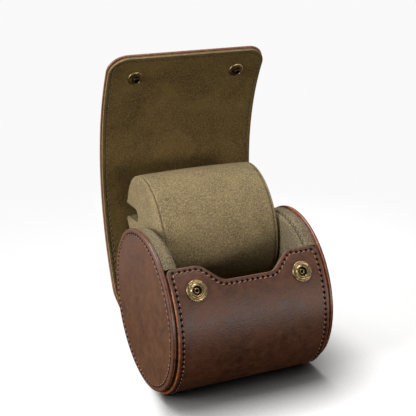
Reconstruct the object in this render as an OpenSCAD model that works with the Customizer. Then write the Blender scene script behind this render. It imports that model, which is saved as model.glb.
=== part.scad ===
// Travel case for one wristwatch: a short oval drum on its side, with a leather
// strip that wraps its front, underside and back and runs on as the lid.
// +X runs along the drum, -Y is the front, +Z is up. The origin is on the flat
// base, straight below the drum's axis. The lid is drawn fully open.

/* [Drum] */
// Short half-axis of the drum's oval section
oval_short = 39.5; // [38:0.5:41]
// Long half-axis of the drum's oval section
oval_long = 45; // [44:0.5:47]
// How far the oval's long axis leans back from upright, in degrees
oval_lean = 32; // [26:1:36]
// Depth of the flat pressed into the underside
base_cut = 2; // [1.5:0.1:2.5]
// Length of the case over its two end discs
case_len = 94; // [88:1:110]
// Width of the round suede band that shows at each end
band_w = 8.2; // [6:0.2:10]

/* [Leather and lining] */
// Thickness of the outer leather
leather_t = 1.4; // [1:0.1:1.8]
// Thickness of the stiffener board
board_t = 1.2; // [0.8:0.1:1.4]
// Thickness of the suede lining
lining_t = 0.8; // [0.6:0.1:1]
// Thickness of each end disc
disc_t = 1.8; // [1.4:0.1:2.2]
// Thickness of the second leather layer behind each end disc
welt_t = 1; // [0.8:0.1:1.4]

/* [Front edge] */
// How far round the oval the front edge starts, in degrees from the back
front_edge_at = 127; // [122:1:132]
// Depth of the finger scoop in the front edge
scoop_depth = 10.3; // [6:0.1:12]
// Half the width of the scoop's flat bottom
scoop_flat = 12; // [8:1:16]
// Half the width of the scoop at its top
scoop_top = 28; // [24:1:32]

/* [Lid] */
// Width of the lid
lid_w = 94; // [92:1:100]
// Rounding of the lid's two free corners
lid_corner_r = 11; // [6:1:14]
// Number of rigid lengths that stand in for the bending lid
lid_parts = 8; // [8]
// Where the closed lid's free edge comes, in degrees from the back
lid_end_at = 166; // [162:0.5:168]
// Lean of the open lid where it leaves the drum, in degrees
lid_open_lean = 60; // [56:1:64]
// How far behind the drum's axis the lid's first fold lies
fold_back = 36.1; // [35:0.1:38]
// Height of the lid's first fold
fold_height = 22; // [21:0.1:24]
// Slope of the strip where it meets the lid, in degrees
heel_slope = 54; // [50:1:58]

/* [Snaps] */
// Distance between the two snaps
snap_gap = 61; // [50:1:66]
// Distance from the lid's free edge to the snaps
snap_inset = 14; // [13:0.5:14.5]
// Diameter of the socket ring
socket_d = 11.4; // [10:0.1:12.5]
// Diameter of the hole in the socket
socket_bore_d = 4.9; // [4.7:0.1:5.2]
// Diameter of the cap on the outside of the lid
cap_d = 11; // [10:0.1:11.4]

/* [Pillow] */
// Half the depth of the pillow's section
pillow_short = 25; // [22:0.5:26]
// Half the height of the pillow's section
pillow_long = 33; // [30:0.5:34]
// How far the pillow leans back, in degrees
pillow_lean = 30; // [28:1:32]
// Height of the slot in the pillow's back
slot_h = 7; // [5:0.5:8]
// How far the pillow sinks when the lid closes over it
pillow_travel = 42; // [38:1:42]

/* [Hidden] */

// Layers, measured inwards from the outer face of the leather
sheet_t = leather_t + board_t + lining_t;
board_depth = leather_t;
lining_depth = leather_t + board_t;

// Stations along +X, half lengths
disc_out = case_len / 2;
disc_in = disc_out - disc_t;
welt_in = disc_in - welt_t;
wrap_half = welt_in - 0.3;
lining_out = welt_in - band_w;
board_in = lining_out + lining_t;

// Radial layers of the drum, as offsets from the oval
fit_gap = 0.2;
drum_off = -sheet_t - fit_gap;
band_off = -1;
pad_fit = 0.12;
disc_off = -1;
welt_off = -1.9;

// Oval section: a point at polar angle phi, pushed out by off along the normal
oval_steps = 96;
long_part = oval_long * cos(oval_lean);
short_part = oval_short * sin(oval_lean);
half_h = sqrt(long_part * long_part + short_part * short_part);
axis_z = half_h - base_cut;
function turn2(p, a) = [p[0] * cos(a) + p[1] * sin(a), p[1] * cos(a) - p[0] * sin(a)];
function unit2(p) = p / norm(p);
function oval_param(phi) =
    let (q = turn2([cos(phi), sin(phi)], -oval_lean))
    atan2(q[1] / oval_long, q[0] / oval_short);
function oval_normal(phi) =
    let (t = oval_param(phi))
    turn2(unit2([cos(t) / oval_short, sin(t) / oval_long]), oval_lean);
function oval_pt(phi, off = 0) =
    let (t = oval_param(phi))
    turn2([oval_short * cos(t), oval_long * sin(t)], oval_lean)
        + off * oval_normal(phi) + [0, axis_z];
function on_base(p, off) = [p[0], max(p[1], -off)];
function oval_ring(off) = [
    for (i = [0:oval_steps - 1]) on_base(oval_pt(i * 360 / oval_steps, off), off)
];

// The end discs are whole ovals. The strip passes outside them below, and on
// top they reach a little over the suede band
disc_rise = base_cut + disc_off + 0.1;
function disc_ring(off) = [
    for (i = [0:oval_steps - 1]) oval_pt(i * 360 / oval_steps, off) + [0, disc_rise]
];
function flip(list) = [for (i = [len(list) - 1:-1:0]) list[i]];

// The strip lies flat under the drum, then turns up behind it as a heel and
// runs straight to the first fold of the lid
heel_r = 16;
fold_1 = [fold_back, fold_height];
heel_dir = [cos(heel_slope), sin(heel_slope)];
heel_normal = [heel_dir[1], -heel_dir[0]];
heel_end = fold_1 + sheet_t * heel_normal;
heel_rise = heel_r * (1 - heel_dir[0]);
heel_run = (heel_end[1] - heel_rise) / heel_dir[1];
heel_y = heel_end[0] - heel_r * heel_dir[1] - heel_run * heel_dir[0];

// Lid closed: it bulges over the drum, since it is longer than the way round
// to leave room for a thick watch, and the snaps hold it off at the front
fold_off = [0, 1.8, 4.0, 5.5, 5.8, 5.2, 4.1, 3.2, 3.4];
function polar_at(p) = atan2(p[1] - axis_z, p[0]);
function step_round(from, off, chord, low, high, n = 24) =
    let (mid = (low + high) / 2)
    n == 0 ? mid
    : norm(oval_pt(mid, off) - from) < chord
        ? step_round(from, off, chord, mid, high, n - 1)
        : step_round(from, off, chord, low, mid, n - 1);
function closed_folds(chord, i = 0, at = polar_at(fold_1), p = fold_1) =
    i == lid_parts ? [[at, p]]
    : let (next = step_round(p, fold_off[i + 1], chord, at + 1, at + 60))
        concat([[at, p]], closed_folds(chord, i + 1, next, oval_pt(next, fold_off[i + 1])));
function fit_chord(low, high, n = 24) =
    let (mid = (low + high) / 2, last = closed_folds(mid)[lid_parts][0])
    n == 0 ? mid
    : last < lid_end_at ? fit_chord(mid, high, n - 1) : fit_chord(low, mid, n - 1);
chord = fit_chord(14, 24);
closed = [for (f = closed_folds(chord)) f[1]];
function heading(a, b) = let (h = atan2(b[1] - a[1], b[0] - a[0])) h < -90 ? h + 360 : h;
closed_head = [for (i = [0:lid_parts - 1]) heading(closed[i], closed[i + 1])];

// Lid open: it leans back, stands up and curls forward at its free edge
curl_1 = 0.29;
curl_2 = 0.0008;
function open_head_at(s) = lid_open_lean + curl_1 * s + curl_2 * s * s;
open_head = [for (i = [0:lid_parts - 1]) open_head_at((i + 0.5) * chord)];
function along(a) = [cos(a), sin(a)];
function open_fold(i) = i == 0 ? fold_1 : open_fold(i - 1) + chord * along(open_head[i - 1]);
open = [for (i = [0:lid_parts]) open_fold(i)];
fold_turn = [
    for (i = [0:lid_parts])
        i == 0 ? open_head[0] - heel_slope
        : i == lid_parts ? 0 : open_head[i] - open_head[i - 1]
];
closing = [
    for (i = [0:lid_parts - 1])
        (closed_head[i] - open_head[i]) - (i == 0 ? 0 : closed_head[i - 1] - open_head[i - 1])
];
function bow(i) =
    let (s = (i + 0.5) * chord)
    chord * chord / 8 * (curl_1 + 2 * curl_2 * s) * PI / 180;
fold_gap = 0.15;
snap_part = lid_parts - 1;
snap_u = chord - snap_inset;
function bow_at(i, u) = bow(i) * (1 - pow(2 * u / chord - 1, 2));

// Snap axis: the closed lid's stud points at the front, and the socket sits
// where that line meets the leather
stud_closed = closed[snap_part] + snap_u * along(closed_head[snap_part]);
snap_dir = [-sin(closed_head[snap_part]), cos(closed_head[snap_part])];
function in_oval(p) =
    let (q = turn2(p - [0, axis_z], -oval_lean)) [q[0] / oval_short, q[1] / oval_long];
ray_a = in_oval(snap_dir + [0, axis_z]);
ray_b = in_oval(stud_closed);
snap_reach = (-(ray_a * ray_b) - sqrt(pow(ray_a * ray_b, 2) - (ray_a * ray_a) * (ray_b * ray_b - 1)))
    / (ray_a * ray_a);
socket_at = stud_closed + snap_reach * snap_dir;
socket_tilt = atan2(-snap_dir[1], -snap_dir[0]) - 90;
stud_back = bow_at(snap_part, snap_u);
snap_space = snap_reach + stud_back;
seat = 0.3;
socket_h = 1.45;
rivet_r = 1.5;
rivet_hole_r = 0.9;
rivet_fit = 0.1;
clinch_r = 3.2;
clinch_t = 0.5;
stud_flange_r = 4.3;
stud_flange_t = 0.7;
stud_post_r = 2.05;
stud_hollow_r = 1.35;
post_len = snap_space - 0.4;

// Front edge, in a plane square to the leather
edge_mid_at = 135;
edge_normal = oval_normal(edge_mid_at);
edge_tilt = atan2(edge_normal[1], edge_normal[0]) - 90;
edge_origin = oval_pt(edge_mid_at);
edge_top = (oval_pt(front_edge_at) - edge_origin) * along(edge_tilt);
edge_corner_r = 3.5;
function scoop_rise(x) =
    let (k = min(1, max(0, (abs(x) - scoop_flat) / (scoop_top - scoop_flat))))
    edge_top - scoop_depth * (1 + cos(180 * k)) / 2;
corner_x = wrap_half - edge_corner_r;
edge_line = concat(
    [for (a = [180:-15:90]) [-corner_x, edge_top - edge_corner_r] + edge_corner_r * along(a)],
    [for (x = [-scoop_top:2:scoop_top]) [x, scoop_rise(x)]],
    [for (a = [90:-15:0]) [corner_x, edge_top - edge_corner_r] + edge_corner_r * along(a)]
);

// Pillow, as it stands raised when the case is open
pillow_mid = [26, 75];
cover_t = 0.9;
cap_t = 0.9;
core_t = 5;
core_fit = 0.05;
cover_half = lining_out - 0.5;
cap_in = cover_half - 1.3;
pillow_round = 3.5;
slot_mid_z = 81.5;
slot_end_y = 39.5;
slot_mouth_y = 75;

// Colours
leather_brown = "#6b4a3a";
edge_orange = "#a8623f";
suede_olive = "#8b7d58";
lining_olive = "#5b4b2a";
brass_old = "#a8925a";
board_grey = "#b9a888";
foam_grey = "#c8c4b8";

// Placing
module along_x(x0, x1) {
    translate([x0, 0, 0])
        rotate([90, 0, 90])
            linear_extrude(x1 - x0)
                children();
}
module at_end(side, x0, x1) {
    if (side > 0) along_x(x0, x1) children();
    else along_x(-x1, -x0) children();
}
module at_fold(i) {
    translate([0, open[i][0], open[i][1]])
        rotate([open_head[i], 0, 0])
            children();
}
module at_socket(x) {
    translate([x, socket_at[0], socket_at[1]])
        rotate([socket_tilt, 0, 0])
            children();
}
module at_stud(x) {
    at_fold(snap_part)
        translate([x, snap_u, -stud_back])
            children();
}
module each_snap() {
    for (x = [-snap_gap / 2, snap_gap / 2]) {
        $snap_x = x;
        children();
    }
}

// A closed form through a row of rings, each at its own station along X
module loft(xs, rings) {
    side = len(rings[0]);
    last = len(xs) - 1;
    pts = [for (k = [0:last]) for (p = rings[k]) [xs[k], p[0], p[1]]];
    walls = [
        for (k = [0:last - 1], i = [0:side - 1])
            let (a = k * side + i, b = k * side + (i + 1) % side)
            each [[a, a + side, b], [b, a + side, b + side]]
    ];
    caps = [[for (i = [0:side - 1]) i], [for (i = [side - 1:-1:0]) last * side + i]];
    polyhedron(points = pts, faces = concat(walls, caps), convexity = 4);
}

// End of the drum, from the outside in
module disc(side) {
    xs = [-disc_out, 0.35 - disc_out, 1 - disc_out, -disc_in];
    color(leather_brown)
        mirror([side > 0 ? 1 : 0, 0, 0])
            loft(xs, [for (in = [0.9, 0.3, 0, 0]) disc_ring(disc_off - in)]);
}
module welt(side) {
    color(edge_orange)
        at_end(side, welt_in, disc_in)
            polygon(disc_ring(welt_off));
}
module end_board(side) {
    color(board_grey)
        at_end(side, board_in, welt_in)
            polygon(oval_ring(drum_off));
}
module drum_lining(side) {
    color(suede_olive)
        at_end(side, lining_out, board_in)
            polygon(oval_ring(drum_off));
}

// The padded band covers the part of the drum that the strip leaves bare, from
// the front edge over the top to where the closed lid lifts off at the back
band_from = -14;
band_to = front_edge_at - 0.6;
band_steps = 40;
function band_arc(off) = [
    for (i = [0:band_steps]) oval_pt(band_from + (band_to - band_from) * i / band_steps, off)
];
module band_layer(side, off_out, off_in) {
    at_end(side, lining_out, welt_in)
        polygon(concat(band_arc(off_out), flip(band_arc(off_in))));
}
module band_pad(side) {
    color(foam_grey) band_layer(side, band_off - lining_t, drum_off + pad_fit);
}
module band(side) {
    color(suede_olive) band_layer(side, band_off, band_off - lining_t);
}

// The strip: front, underside and back
wrap_steps = 64;
heel_steps = 12;
heel_mid = [heel_y, heel_r];
function wrap_line(off) =
    let (
        first = front_edge_at - 8,
        r = heel_r + off,
        last = heel_end + off * heel_normal
            + ((sheet_t + off) * tan(fold_turn[0] / 2) - fold_gap) * heel_dir
    )
    concat(
        [for (i = [0:wrap_steps]) on_base(oval_pt(first + (270 - first) * i / wrap_steps, off), off)],
        [for (i = [0:heel_steps]) heel_mid + r * along(heel_slope * i / heel_steps - 90)],
        [last]
    );
module mouth() {
    reach = 60;
    translate([0, edge_origin[0], edge_origin[1]])
        rotate([edge_tilt, 0, 0])
            linear_extrude(20, center = true)
                polygon(concat(
                    [[-reach, edge_top - edge_corner_r]],
                    edge_line,
                    [[reach, edge_top - edge_corner_r], [reach, reach], [-reach, reach]]
                ));
}
module wrap_layer(off_out, off_in, half_w) {
    difference() {
        along_x(-half_w, half_w)
            polygon(concat(wrap_line(off_out), flip(wrap_line(off_in))));
        mouth();
        each_snap() at_socket($snap_x)
            cylinder(r = rivet_r + rivet_fit, h = 20, center = true, $fn = 32);
    }
}
module wrap_leather() {
    color(leather_brown)
        difference() {
            wrap_layer(0, -board_depth, wrap_half);
            each_snap() at_socket($snap_x)
                translate([0, 0, -seat])
                    cylinder(d = socket_d, h = 5, $fn = 64);
        }
}
module wrap_board() {
    color(board_grey) wrap_layer(-board_depth, -lining_depth, wrap_half - 0.6);
}
module wrap_lining() {
    color(lining_olive)
        difference() {
            wrap_layer(-lining_depth, -sheet_t, wrap_half);
            each_snap() at_socket($snap_x)
                translate([0, 0, -8 - sheet_t])
                    cylinder(r = clinch_r + 0.1, h = 8 + seat, $fn = 48);
        }
}

// Snap sockets in the front
module socket_profile() {
    bore_r = socket_bore_d / 2;
    rim_r = socket_d / 2;
    lip = 0.9;
    difference() {
        union() {
            translate([bore_r, 0]) square([rim_r - bore_r - 0.5, 0.7]);
            translate([bore_r, 0]) square([rim_r - bore_r, 0.45]);
            intersection() {
                translate([(bore_r + rim_r) / 2, 0.4]) scale([1, 1]) circle(r = socket_h - 0.4, $fn = 40);
                translate([bore_r, 0]) square([rim_r - bore_r, socket_h]);
            }
            translate([bore_r, 0]) square([lip, socket_h - 0.25]);
        }
        translate([bore_r - 0.01, 0.35]) square([0.42, 0.5]);
    }
}
module socket_rings() {
    color(brass_old)
        each_snap() at_socket($snap_x)
            translate([0, 0, -seat])
                rotate_extrude($fn = 64) socket_profile();
}
module socket_springs() {
    spring_r = 0.2;
    color("silver")
        each_snap() at_socket($snap_x)
            translate([0, 0, -seat + 0.6])
                rotate([0, 0, 30])
                    rotate_extrude(angle = 300, $fn = 48)
                        translate([socket_bore_d / 2 + 0.2, 0]) circle(r = spring_r, $fn = 16);
}
module socket_rivets() {
    head_t = 0.2;
    color(brass_old)
        each_snap() at_socket($snap_x)
            difference() {
                union() {
                    translate([0, 0, -seat]) cylinder(r = socket_bore_d / 2 - 0.05, h = head_t, $fn = 48);
                    translate([0, 0, -sheet_t - seat]) cylinder(r = rivet_r, h = sheet_t + 0.1, $fn = 32);
                    translate([0, 0, -sheet_t - seat]) cylinder(r = clinch_r, h = clinch_t, $fn = 48);
                }
                cylinder(r = rivet_hole_r, h = 20, center = true, $fn = 24);
            }
}

// Lid, in lengths that fold on each other at the lining's face
lid_half = lid_w / 2;
bow_steps = 6;
function lid_line(i, depth) = [
    for (k = [0:bow_steps])
        let (
            start = fold_gap - depth * tan(fold_turn[i] / 2),
            end = chord - fold_gap + depth * tan(fold_turn[i + 1] / 2),
            u = start + (end - start) * k / bow_steps
        )
        [u, -bow_at(i, chord * k / bow_steps) - depth]
];
// The first length widens from the strip's width to the lid's, and the last has
// rounded corners
flare_u = 0.5;
flare_len = 18.5;
flare_steps = 12;
function flare_x(u) =
    let (k = min(1, max(0, (u - flare_u) / flare_len)))
    wrap_half + (lid_half - wrap_half) * (1 - cos(180 * k)) / 2;
flare_edge = [for (k = [0:flare_steps])
    let (u = flare_u + flare_len * k / flare_steps) [flare_x(u), u]];
corner_edge = [for (a = [0:7.5:90])
    [lid_half - lid_corner_r, chord - lid_corner_r] + lid_corner_r * along(a)];
function mirrored(edge) = [for (p = flip(edge)) [-p[0], p[1]]];
module lid_plan(i, inset) {
    far = 4;
    scale_in = (lid_half - inset) / lid_half;
    if (i == 0)
        polygon(concat(
            [[-wrap_half + inset, -far], [wrap_half - inset, -far]],
            [for (p = flare_edge) [p[0] - inset, p[1]]],
            [[lid_half - inset, chord + far], [-lid_half + inset, chord + far]],
            [for (p = mirrored(flare_edge)) [p[0] + inset, p[1]]]
        ));
    else if (i == lid_parts - 1)
        polygon(concat(
            [[-lid_half + inset, -far], [lid_half - inset, -far]],
            [for (p = corner_edge) [p[0] - inset, p[1] - inset]],
            [for (p = mirrored(corner_edge)) [p[0] + inset, p[1] - inset]]
        ));
}
module lid_layer(i, depth_in, depth_out, inset = 0) {
    at_fold(i)
        difference() {
            intersection() {
                along_x(-lid_half + inset, lid_half - inset)
                    polygon(concat(lid_line(i, depth_in), flip(lid_line(i, depth_out))));
                if (i == 0 || i == lid_parts - 1)
                    translate([0, 0, -12]) linear_extrude(24) lid_plan(i, inset);
                else
                    translate([-lid_half, -6, -12]) cube([lid_w, chord + 12, 24]);
            }
            if (i == snap_part)
                each_snap() translate([$snap_x, snap_u, 0])
                    cylinder(r = rivet_r + rivet_fit, h = 20, center = true, $fn = 32);
        }
}
module lid_leather(i) {
    color(leather_brown)
        difference() {
            lid_layer(i, lining_depth - (leather_t - lining_t), sheet_t);
            if (i == snap_part)
                each_snap() at_stud($snap_x)
                    translate([0, 0, -sheet_t - 5 + seat])
                        cylinder(d = cap_d, h = 5, $fn = 64);
        }
}
module lid_padding(i) {
    color(board_grey) lid_layer(i, lining_t, lining_t + board_t, 0.6);
}
module lid_lining(i) {
    color(lining_olive)
        difference() {
            lid_layer(i, 0, lining_t);
            if (i == snap_part)
                each_snap() at_stud($snap_x)
                    translate([0, 0, -0.15])
                        cylinder(r = stud_flange_r, h = 5, $fn = 48);
        }
}

// Snap studs on the lining and their caps on the leather
module snap_studs() {
    color(brass_old)
        each_snap() at_stud($snap_x)
            difference() {
                union() {
                    translate([0, 0, -0.15]) cylinder(r = stud_flange_r, h = stud_flange_t + 0.15, $fn = 48);
                    cylinder(r = stud_post_r, h = post_len, $fn = 32);
                }
                translate([0, 0, post_len - 1.5]) cylinder(r = stud_hollow_r, h = 2, $fn = 24);
                translate([0, 0, -1]) cylinder(r = rivet_r + 0.02, h = 1.5, $fn = 32);
            }
}
module snap_caps() {
    cap_h = 1.8;
    shell_t = 0.45;
    root = 0.2;
    dome_r = (pow(cap_d / 2, 2) + cap_h * cap_h) / (2 * cap_h);
    color(brass_old)
        each_snap() at_stud($snap_x)
            translate([0, 0, -sheet_t + seat])
                union() {
                    difference() {
                        translate([0, 0, dome_r - cap_h]) sphere(r = dome_r, $fn = 96);
                        translate([0, 0, dome_r - cap_h]) sphere(r = dome_r - shell_t, $fn = 96);
                        cylinder(r = cap_d, h = 2 * dome_r);
                    }
                    translate([0, 0, root - cap_h])
                        cylinder(r = rivet_r, h = cap_h - root + sheet_t - seat + 0.4, $fn = 32);
                }
}

// Pillow
function pillow_ring(off, x = 0) = [
    for (i = [0:47])
        let (
            a = i * 7.5,
            k = abs(x) / cover_half,
            edge = pillow_round * (0.25 * k * k + 0.75 * pow(k, 8)),
            p = [(pillow_short - off - edge) * cos(a), (pillow_long - off - edge) * sin(a)]
        )
        turn2(p, pillow_lean) + pillow_mid
];
module slot_cut(extra) {
    r = slot_h / 2 + extra;
    along_x(-case_len, case_len)
        union() {
            translate([slot_end_y, slot_mid_z]) circle(r = r, $fn = 32);
            translate([slot_end_y, slot_mid_z - r]) square([slot_mouth_y - slot_end_y, 2 * r]);
        }
}
cover_rings = 10;
cover_xs = [for (k = [0:cover_rings]) cover_half * sin(90 * (2 * k / cover_rings - 1))];
module pillow_form(off, reach = 0) {
    loft(
        [for (k = [0:cover_rings])
            cover_xs[k] + (k == 0 ? -reach : k == cover_rings ? reach : 0)],
        [for (x = cover_xs) pillow_ring(off, x)]
    );
}
module pillow_core() {
    color(foam_grey)
        difference() {
            pillow_form(cover_t + core_fit, 1);
            for (side = [-1, 1])
                at_end(side, cap_in - core_fit, case_len) square(case_len * 4, center = true);
            slot_cut(cover_t + core_fit);
            pillow_form(cover_t + core_t, 1);
        }
}
module pillow_cover() {
    color(suede_olive)
        difference() {
            pillow_form(0);
            difference() {
                pillow_form(cover_t, 1);
                slot_cut(cover_t);
            }
            pillow_form(cover_t + core_t, 1);
            slot_cut(0);
        }
}
module pillow_cap(side) {
    color(suede_olive)
        difference() {
            at_end(side, cap_in, cap_in + cap_t)
                polygon(pillow_ring(pillow_round + cover_t + core_fit));
            slot_cut(cover_t + core_fit);
        }
}

disc(-1);  // left_disc
disc(1);  // right_disc
welt(-1);  // left_welt
welt(1);  // right_welt
end_board(-1);  // left_end_board
end_board(1);  // right_end_board
band_pad(-1);  // left_band_pad
band_pad(1);  // right_band_pad
band(-1);  // left_band
band(1);  // right_band
drum_lining(-1);  // left_lining
drum_lining(1);  // right_lining
wrap_leather();
wrap_board();
wrap_lining();
socket_rings();
socket_springs();
socket_rivets();
pillow_core();
pillow_cover();
pillow_cap(-1);  // left_pillow_cap
pillow_cap(1);  // right_pillow_cap
for (i = [1:lid_parts]) {
    lid_leather(i - 1);
    lid_padding(i - 1);
    lid_lining(i - 1);
}
snap_studs();
snap_caps();
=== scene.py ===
"""Looks of the watch travel case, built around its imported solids.

Sizes in the code are in millimetres and become metres when a mesh is written.
"""

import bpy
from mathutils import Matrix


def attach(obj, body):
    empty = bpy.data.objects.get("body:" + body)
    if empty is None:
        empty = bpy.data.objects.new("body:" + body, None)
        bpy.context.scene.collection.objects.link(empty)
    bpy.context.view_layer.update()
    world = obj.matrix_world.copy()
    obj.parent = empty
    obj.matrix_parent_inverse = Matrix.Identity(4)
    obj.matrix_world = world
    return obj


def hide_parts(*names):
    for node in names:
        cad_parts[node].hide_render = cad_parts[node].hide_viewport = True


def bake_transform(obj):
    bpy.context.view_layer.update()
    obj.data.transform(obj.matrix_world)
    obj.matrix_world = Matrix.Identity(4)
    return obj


bl_info = {
    "name": "Watch travel case",
    "version": (1, 0, 0),
    "blender": (4, 5, 0),
    "location": "3D View > Sidebar > Watch Case",
    "description": "Builds the dressed leather travel case for one watch",
    "category": "Add Mesh",
}

import bmesh
import bpy
import numpy as np
from bpy.props import FloatProperty, FloatVectorProperty, IntProperty, PointerProperty
from mathutils import Matrix, Vector

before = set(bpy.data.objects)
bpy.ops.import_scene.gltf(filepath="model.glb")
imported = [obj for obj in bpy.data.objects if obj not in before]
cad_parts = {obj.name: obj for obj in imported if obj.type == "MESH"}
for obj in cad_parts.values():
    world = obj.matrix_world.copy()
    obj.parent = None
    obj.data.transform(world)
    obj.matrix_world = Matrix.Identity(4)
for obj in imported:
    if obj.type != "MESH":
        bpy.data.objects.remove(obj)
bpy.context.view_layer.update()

MM = 0.001


def linear(code):
    """sRGB hex code to scene linear colour, by the standard curve."""
    c = np.array([int(code[i:i + 2], 16) for i in (1, 3, 5)]) / 255
    return tuple(np.where(c <= 0.04045, c / 12.92, ((c + 0.055) / 1.055) ** 2.4))


# The drum's oval section and the layers of its ends, as the solids have them
OVAL_SHORT = 39.5
OVAL_LONG = 45.0
OVAL_LEAN = np.radians(32)
BASE_CUT = 2.0
AXIS_Z = np.hypot(OVAL_LONG * np.cos(OVAL_LEAN), OVAL_SHORT * np.sin(OVAL_LEAN)) - BASE_CUT
DISC_OUT = 47.0
DISC_IN = 45.2
WELT_IN = 44.2
BAND_IN = 36.0
DISC_OFF = -1.0
DISC_RISE = 1.1
WELT_OFF = -1.9

# The strip: its layers, front edge, heel and lid
LEATHER_T = 1.4
BOARD_T = 1.2
LINING_T = 0.8
SHEET_T = LEATHER_T + BOARD_T + LINING_T
BOARD_FIT = 0.02
LEATHER = (0.0, LEATHER_T)
BOARD = (LEATHER_T + BOARD_FIT, LEATHER_T + BOARD_T - BOARD_FIT)
LINING = (LEATHER_T + BOARD_T, SHEET_T)
WRAP_HALF = 43.9
FRONT_EDGE_AT = 127.0
EDGE_MID_AT = 135.0
EDGE_CORNER_R = 3.5
SCOOP_DEPTH = 10.3
SCOOP_FLAT = 12.0
SCOOP_TOP = 28.0
HEEL_R = 16.0
HEEL_SLOPE = np.radians(54)
FOLD_1 = np.array([36.1, 22.0])
ROOT_LEAN = np.radians(58.5)
LID_HALF = 47.0
LID_CORNER_R = 11.0
LID_PARTS = 8
LID_CUT = 6.0
FLARE_START = 0.5
FLARE_LENGTH = 18.5
CHORD = 19.46084
OPEN_LEAN = 60.0
CURL_1 = 0.29
CURL_2 = 0.0008
SPAN_POINTS = 120
EDGE_POINTS = 400

# Rounded edges and stitches of the leather
RIM_STEPS = 5
EDGE_LOOPS = np.array([0.15, 0.4, 0.7, 1.0, 1.3, 1.6, 1.9, 2.2, 2.6, 3.1, 3.8, 4.8])
FAR = 1e3
STITCH_INSET = 2.7
DISC_STITCH_IN = 2.9
STITCH_PITCH = 3.0
THREAD_R = 0.36
THREAD_SUNK = 0.17

# Snaps
SNAP_X = 30.5
SNAP_INSET = 14.0
SOCKET_AT = np.array([-32.987, 63.2586])
SOCKET_TILT = np.radians(61.1068)
BORE_R = 2.55
CAP_R = 5.3

# Pillow
PILLOW_LEAN = np.radians(30)
PILLOW_MID = np.array([26.0, 75.0])
PILLOW_SHORT = 25.0
PILLOW_LONG = 33.0
PILLOW_HALF = 35.5
PILLOW_SEAM = PILLOW_HALF - 2.6
SLOT_HALF = 3.4
SLOT_END_Y = 39.5
SLOT_Z = 81.5


# ---- shapes -------------------------------------------------------------

def turn(y, z, angle):
    """A point turned about the drum's axis, from its long end towards +Y."""
    return y * np.cos(angle) + z * np.sin(angle), z * np.cos(angle) - y * np.sin(angle)


def ahead(angle):
    """Unit vectors (cos, sin) of angles in radians."""
    return np.stack([np.cos(angle), np.sin(angle)], -1)


def beside(angle):
    """Unit vectors a right angle clockwise of ahead."""
    return np.stack([np.sin(angle), -np.cos(angle)], -1)


def quarter(steps):
    """Angles of a quarter turn, in equal steps."""
    return np.linspace(0, np.pi / 2, steps + 1)


def around(steps):
    """Angles of a whole turn, in equal steps, without the last."""
    return np.linspace(0, 2 * np.pi, steps + 1)[:-1]


def oval(phi, off=0.0, flat=True):
    """The drum's oval section at polar angle phi in degrees, pushed out by off.

    The ellipse (short cos t, long sin t) is leaned back, moved out along its
    normal (cos t / short, sin t / long), and cut flat at the base.
    """
    phi = np.radians(np.asarray(phi, float))
    y, z = turn(np.cos(phi), np.sin(phi), -OVAL_LEAN)
    t = np.arctan2(z / OVAL_LONG, y / OVAL_SHORT)
    n = np.stack([np.cos(t) / OVAL_SHORT, np.sin(t) / OVAL_LONG])
    n /= np.linalg.norm(n, axis=0)
    y, z = turn(OVAL_SHORT * np.cos(t) + off * n[0], OVAL_LONG * np.sin(t) + off * n[1], OVAL_LEAN)
    ny, nz = turn(n[0], n[1], OVAL_LEAN)
    z = z + AXIS_Z
    if flat:
        z = np.maximum(z, -off)
    return y, z, ny, nz


def bump_at(distance, centre, width):
    """A rounded ridge of height 1 at centre, by the bell curve."""
    return np.exp(-((distance - centre) / width) ** 2)


def lengths(path):
    """Length along a line of points, at each of them."""
    return np.concatenate([[0], np.cumsum(np.linalg.norm(np.diff(path, axis=0), axis=1))])


def along_path(at, length, path):
    """Points of a line at given lengths along it."""
    return np.stack([np.interp(at, length, column) for column in path.T], -1)


def smooth_line(knots, leans, count):
    """A line through knots, with its own lean at each point.

    Each span is the cubic that leaves and arrives along the leans given, as
    fast as the span is long.
    """
    t = np.arange((len(knots) - 1) * count + 1) / count
    span = np.minimum(t.astype(int), len(knots) - 2)
    t = (t - span)[:, None]
    p0, p1 = knots[span], knots[span + 1]
    size = np.linalg.norm(p1 - p0, axis=1)[:, None]
    d0, d1 = size * ahead(leans[span]), size * ahead(leans[span + 1])
    point = ((2 * t ** 3 - 3 * t ** 2 + 1) * p0 + (t ** 3 - 2 * t ** 2 + t) * d0
             + (3 * t ** 2 - 2 * t ** 3) * p1 + (t ** 3 - t ** 2) * d1)
    slope = ((6 * t ** 2 - 6 * t) * p0 + (3 * t ** 2 - 4 * t + 1) * d0
             + (6 * t - 6 * t ** 2) * p1 + (3 * t ** 2 - 2 * t) * d1)
    return point, np.unwrap(np.arctan2(slope[:, 1], slope[:, 0]))


def grid_quads(rows, columns, close_columns=False):
    """Corner numbers of the quads of a grid stored row by row."""
    r = np.arange(rows - 1)[:, None] * columns
    c = np.arange(columns if close_columns else columns - 1)[None, :]
    c2 = (c + 1) % columns
    return np.stack([r + c, r + c2, r + columns + c2, r + columns + c], -1).reshape(-1, 4)


def capped(rings):
    """Rings of points with one more at each end, drawn into that end's middle."""
    first, last = (np.broadcast_to(rings[i].mean(0), rings[:1].shape) for i in (0, -1))
    return np.concatenate([first, rings, last])


def join_grids(parts):
    """Several (points, quads, material index) as one."""
    points, quads, index, first = [], [], [], 0
    for p, q, m in parts:
        p = np.asarray(p, float).reshape(-1, 3)
        points.append(p)
        quads.append(q + first)
        index.append(np.broadcast_to(m, len(q)))
        first += len(p)
    return np.concatenate(points), np.concatenate(quads), np.concatenate(index)


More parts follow.
